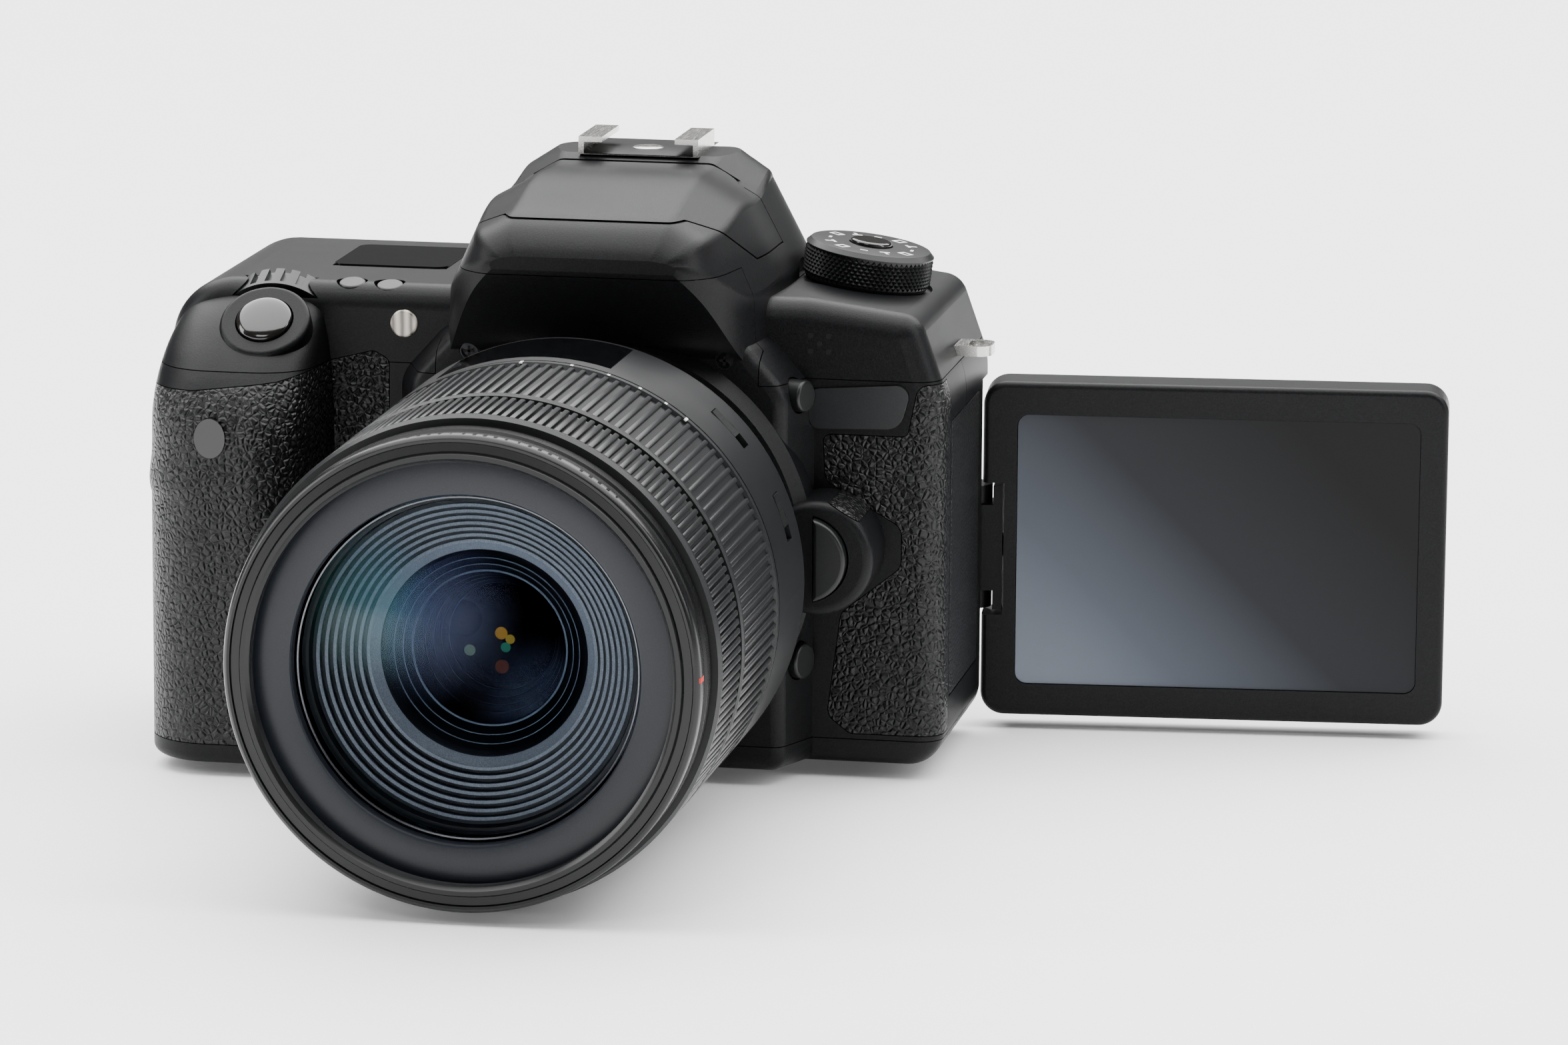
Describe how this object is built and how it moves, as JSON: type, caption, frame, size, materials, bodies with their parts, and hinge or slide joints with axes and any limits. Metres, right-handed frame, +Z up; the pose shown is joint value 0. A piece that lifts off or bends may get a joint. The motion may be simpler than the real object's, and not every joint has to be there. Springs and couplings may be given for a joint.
{
  "type": "dslr camera",
  "caption": "Reflex camera with a zoom lens, rubber-clad grip, pop-up flash, control dials and a swing-out tilting screen shown open and facing forwards.",
  "frame": {"origin": "mouth of the tripod socket, on the base plane under the lens axis, in the plane of the image sensor", "axes": "+Z up, -Y along the lens axis out of the lens, +X across the camera towards the screen hinge"},
  "size_m": [0.2131, 0.1658, 0.1018],
  "materials": {
    "body_plastic": "fine textured polycarbonate",
    "rubber": "leather-grain moulded rubber",
    "gloss_black": "glossy black",
    "badge_black": "satin dark",
    "screw_black": "black oxide",
    "steel": "polished stainless",
    "mount_steel": "turned stainless",
    "inner_black": "flocked black",
    "mirror_silver": "front-silvered",
    "optical_glass": "multi-coated",
    "sensor_glass": "filter glass",
    "lamp_plastic": "frosted",
    "window_black": "infrared window",
    "lens_black": "satin moulded",
    "ring_rubber": "ribbed",
    "name_grey": "satin anodised",
    "screen_glass": "display glass",
    "dial_black": "knurled",
    "key_black": "satin",
    "battery_grey": "satin",
    "socket_alloy": "machined",
    "flash_clear": "ribbed clear"
  },
  "bodies": {
    "body": {"front_cover": "body_plastic", "rear_cover": "body_plastic", "top_cover": "body_plastic", "base_cover": "body_plastic", "grip_rubber": "rubber", "side_rubber": "rubber", "thumb_rubber": "rubber", "badge_plate": "badge_black", "cover_screws": "screw_black", "mount_ring": "mount_steel", "mirror_box": "inner_black", "image_sensor": "sensor_glass", "shutter_unit": "inner_black", "pentamirror": "optical_glass", "eyepiece_lens": "optical_glass", "eyecup": "rubber", "hot_shoe": "steel", "top_window": "gloss_black", "timer_lamp": "lamp_plastic", "remote_window": "window_black", "strap_lugs": "steel", "tripod_socket": "socket_alloy", "battery_pack": "battery_grey", "fixed_barrel": "lens_black", "inner_lens": "optical_glass"},
    "mirror": {"main_mirror": "mirror_silver"},
    "battery_hatch": {"battery_door": "body_plastic"},
    "card_hatch": {"card_door": "body_plastic"},
    "port_flap": {"terminal_cover": "rubber"},
    "shutter_release": {"shutter_button": "gloss_black"},
    "front_wheel": {"main_dial": "dial_black"},
    "mode_knob": {"mode_dial": "dial_black"},
    "mode_lock": {"mode_dial_lock": "gloss_black"},
    "power_lever": {"power_switch": "key_black"},
    "flash_unit": {"flash_head": "body_plastic", "flash_window": "flash_clear"},
    "flash_key": {"flash_button": "key_black"},
    "preview_key": {"preview_button": "key_black"},
    "release_key": {"lens_release": "key_black"},
    "rear_wheel": {"quick_dial": "dial_black"},
    "set_key": {"set_button": "key_black"},
    "menu_key": {"menu_button": "key_black"},
    "info_key": {"info_button": "key_black"},
    "playback_key": {"playback_button": "key_black"},
    "af_key": {"af_button": "key_black"},
    "lock_key": {"lock_button": "key_black"},
    "iso_key": {"iso_button": "key_black"},
    "area_key": {"area_button": "key_black"},
    "dioptre_knob": {"dioptre_dial": "dial_black"},
    "zoom": {"zoom_ring": "ring_rubber"},
    "front_group": {"front_barrel": "lens_black", "name_ring": "name_grey", "front_element": "optical_glass", "lens_baffle": "inner_black"},
    "focus": {"focus_ring": "ring_rubber"},
    "focus_mode_slider": {"focus_mode_switch": "key_black"},
    "stabiliser_slider": {"stabiliser_switch": "key_black"},
    "hinge_arm": {"screen_arm": "body_plastic"},
    "screen": {"screen_housing": "body_plastic", "screen_glass": "screen_glass"}
  },
  "joints": [
    {"name": "mirror_flip", "type": "hinge", "parent": "body", "child": "mirror", "pos_m": [0, -0.0092, 0.0484], "axis": [-1, 0, 0], "range_deg": [0, 40], "stiffness_Nm_per_rad": 0.02, "springref_deg": -17.19},
    {"name": "battery_door_hinge", "type": "hinge", "parent": "body", "child": "battery_hatch", "pos_m": [-0.0506, 0, 0.001], "axis": [0, -1, 0], "range_deg": [0, 95]},
    {"name": "card_door_hinge", "type": "hinge", "parent": "body", "child": "card_hatch", "pos_m": [-0.0736, -0.0044, 0.032], "axis": [0, 0, 1], "range_deg": [-75, 0]},
    {"name": "port_cover_hinge", "type": "hinge", "parent": "body", "child": "port_flap", "pos_m": [0.0552, -0.0216, 0.034], "axis": [0, 0, -1], "range_deg": [0, 100]},
    {"name": "shutter_release_press", "type": "slide", "parent": "body", "child": "shutter_release", "axis": [0, 0.6392, -0.769], "range_m": [0, 0.001], "stiffness_N_per_m": 350, "springref_m": -0.002},
    {"name": "main_dial_turn", "type": "hinge", "parent": "body", "child": "front_wheel", "pos_m": [-0.0563, -0.0252, 0.0679], "axis": [0, -0.9397, -0.3419], "continuous": true},
    {"name": "mode_dial_turn", "type": "hinge", "parent": "body", "child": "mode_knob", "pos_m": [0.0383, -0.004, 0.0766], "axis": [0.1392, 0, 0.9903], "continuous": true},
    {"name": "mode_lock_press", "type": "slide", "parent": "mode_knob", "child": "mode_lock", "axis": [-0.1392, 0, -0.9903], "range_m": [0, 0.0008], "stiffness_N_per_m": 350, "springref_m": -0.002},
    {"name": "power_switch_turn", "type": "hinge", "parent": "body", "child": "power_lever", "pos_m": [0.0306, 0.0114, 0.0776], "axis": [0, 0, 1], "range_deg": [-50, 0]},
    {"name": "flash_pop_up", "type": "hinge", "parent": "body", "child": "flash_unit", "pos_m": [0, -0.0095, 0.0949], "axis": [-1, 0, 0], "range_deg": [0, 60]},
    {"name": "flash_key_press", "type": "slide", "parent": "body", "child": "flash_key", "axis": [-0.9257, 0.3783, 0], "range_m": [0, 0.001], "stiffness_N_per_m": 350, "springref_m": -0.002},
    {"name": "preview_key_press", "type": "slide", "parent": "body", "child": "preview_key", "axis": [-0.9257, 0.3783, 0], "range_m": [0, 0.001], "stiffness_N_per_m": 350, "springref_m": -0.002},
    {"name": "release_key_press", "type": "slide", "parent": "body", "child": "release_key", "axis": [0, 1, 0], "range_m": [0, 0.002], "stiffness_N_per_m": 350, "springref_m": -0.002},
    {"name": "rear_dial_turn", "type": "hinge", "parent": "body", "child": "rear_wheel", "pos_m": [-0.0495, 0.019, 0.027], "axis": [0, 1, 0], "continuous": true},
    {"name": "set_key_press", "type": "slide", "parent": "body", "child": "set_key", "axis": [0, -1, 0], "range_m": [0, 0.001], "stiffness_N_per_m": 350, "springref_m": -0.002},
    {"name": "menu_key_press", "type": "slide", "parent": "body", "child": "menu_key", "axis": [0, -1, 0], "range_m": [0, 0.001], "stiffness_N_per_m": 350, "springref_m": -0.002},
    {"name": "info_key_press", "type": "slide", "parent": "body", "child": "info_key", "axis": [0, -1, 0], "range_m": [0, 0.001], "stiffness_N_per_m": 350, "springref_m": -0.002},
    {"name": "playback_key_press", "type": "slide", "parent": "body", "child": "playback_key", "axis": [0, -1, 0], "range_m": [0, 0.001], "stiffness_N_per_m": 350, "springref_m": -0.002},
    {"name": "af_key_press", "type": "slide", "parent": "body", "child": "af_key", "axis": [0, -1, 0], "range_m": [0, 0.001], "stiffness_N_per_m": 350, "springref_m": -0.002},
    {"name": "lock_key_press", "type": "slide", "parent": "body", "child": "lock_key", "axis": [0, -1, 0], "range_m": [0, 0.001], "stiffness_N_per_m": 350, "springref_m": -0.002},
    {"name": "iso_key_press", "type": "slide", "parent": "body", "child": "iso_key", "axis": [0, 0.2496, -0.9684], "range_m": [0, 0.0007], "stiffness_N_per_m": 350, "springref_m": -0.002},
    {"name": "area_key_press", "type": "slide", "parent": "body", "child": "area_key", "axis": [0, 0.2496, -0.9684], "range_m": [0, 0.0007], "stiffness_N_per_m": 350, "springref_m": -0.002},
    {"name": "dioptre_turn", "type": "hinge", "parent": "body", "child": "dioptre_knob", "pos_m": [-0.017, 0.0152, 0.079], "axis": [-1, 0, 0], "range_deg": [-135, 135]},
    {"name": "zoom_turn", "type": "hinge", "parent": "body", "child": "zoom", "pos_m": [0, -0.097, 0.0368], "axis": [0, -1, 0], "range_deg": [0, 75]},
    {"name": "barrel_extend", "type": "slide", "parent": "body", "child": "front_group", "axis": [0, -1, 0], "range_m": [0, 0.042]},
    {"name": "focus_turn", "type": "hinge", "parent": "body", "child": "focus", "pos_m": [0, -0.121, 0.0368], "axis": [0, -1, 0], "continuous": true},
    {"name": "focus_mode_switch_slide", "type": "slide", "parent": "body", "child": "focus_mode_slider", "axis": [0.6884, 0, -0.7254], "range_m": [0, 0.0022]},
    {"name": "stabiliser_switch_slide", "type": "slide", "parent": "body", "child": "stabiliser_slider", "axis": [0.3223, 0, -0.9466], "range_m": [0, 0.0022]},
    {"name": "screen_swing", "type": "hinge", "parent": "body", "child": "hinge_arm", "pos_m": [0.054, 0.0146, 0.0291], "axis": [0, 0, 1], "range_deg": [0, 175]},
    {"name": "screen_tilt", "type": "hinge", "parent": "hinge_arm", "child": "screen", "pos_m": [0.054, 0.0146, 0.0291], "axis": [0.9962, 0.0872, 0], "range_deg": [-270, 0]}
  ],
  "couplings": [
    {"joint": "barrel_extend", "follows": "zoom_turn", "m_per_rad": 0.032086}
  ]
}
